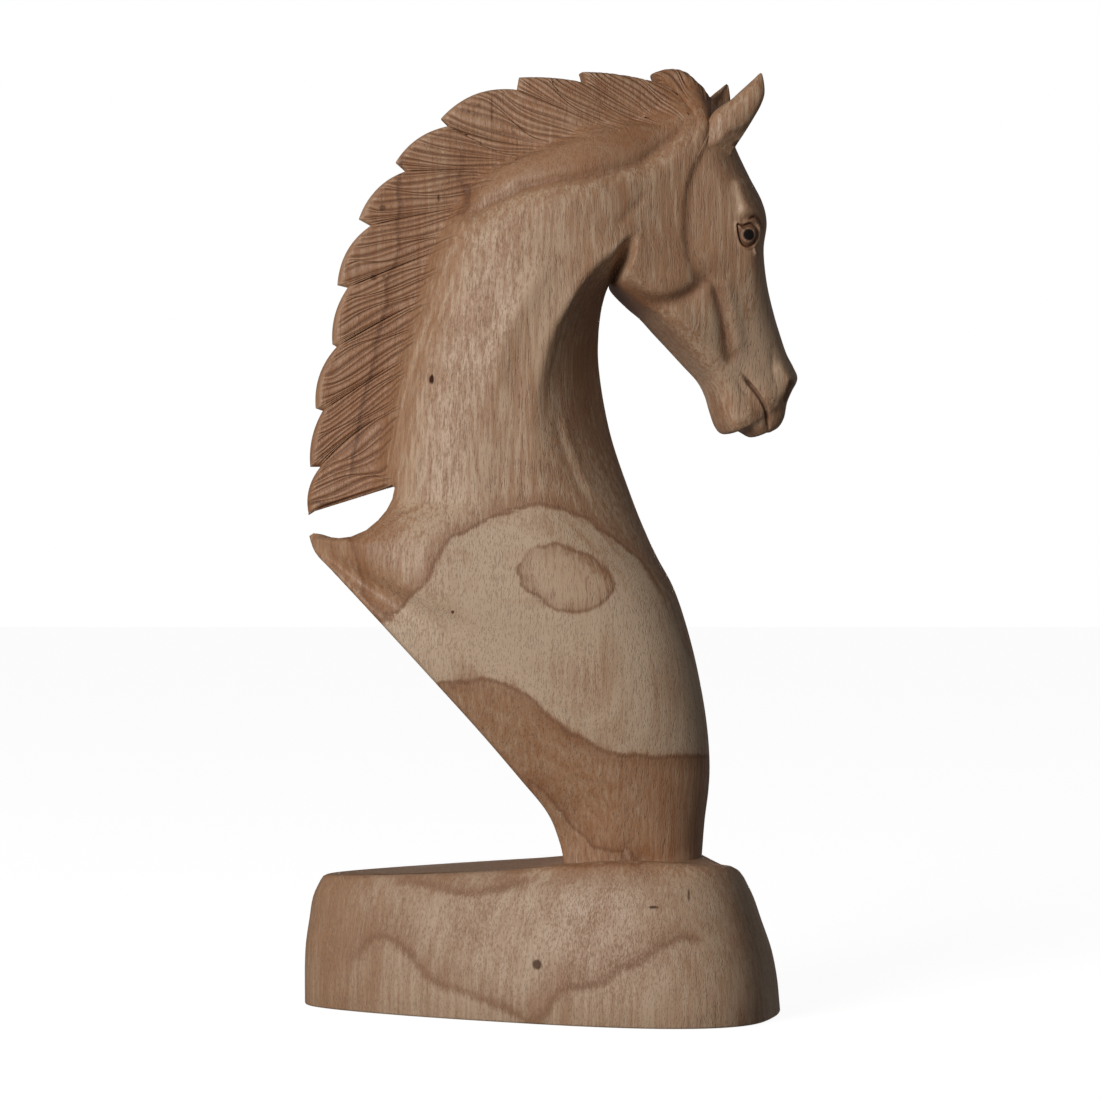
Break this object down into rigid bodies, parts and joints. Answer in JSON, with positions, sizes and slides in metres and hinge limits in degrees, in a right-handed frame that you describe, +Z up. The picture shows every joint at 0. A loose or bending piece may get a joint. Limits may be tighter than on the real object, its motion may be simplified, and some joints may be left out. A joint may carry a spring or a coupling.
{
  "type": "wooden horse head sculpture",
  "caption": "Horse head and arched neck with a mane of carved locks, rising from a low slice of log, all carved in satin wood",
  "frame": {"origin": "on the underside, under the middle of the box around the carving", "axes": "+Z up; the horse looks along +X, its head turned a little towards +Y; the neck's side plane is XZ"},
  "size_m": [0.2121, 0.1217, 0.4013],
  "materials": {
    "satin_wood": "satin"
  },
  "bodies": {
    "root": {"horse_head": "satin_wood"}
  },
  "joints": []
}
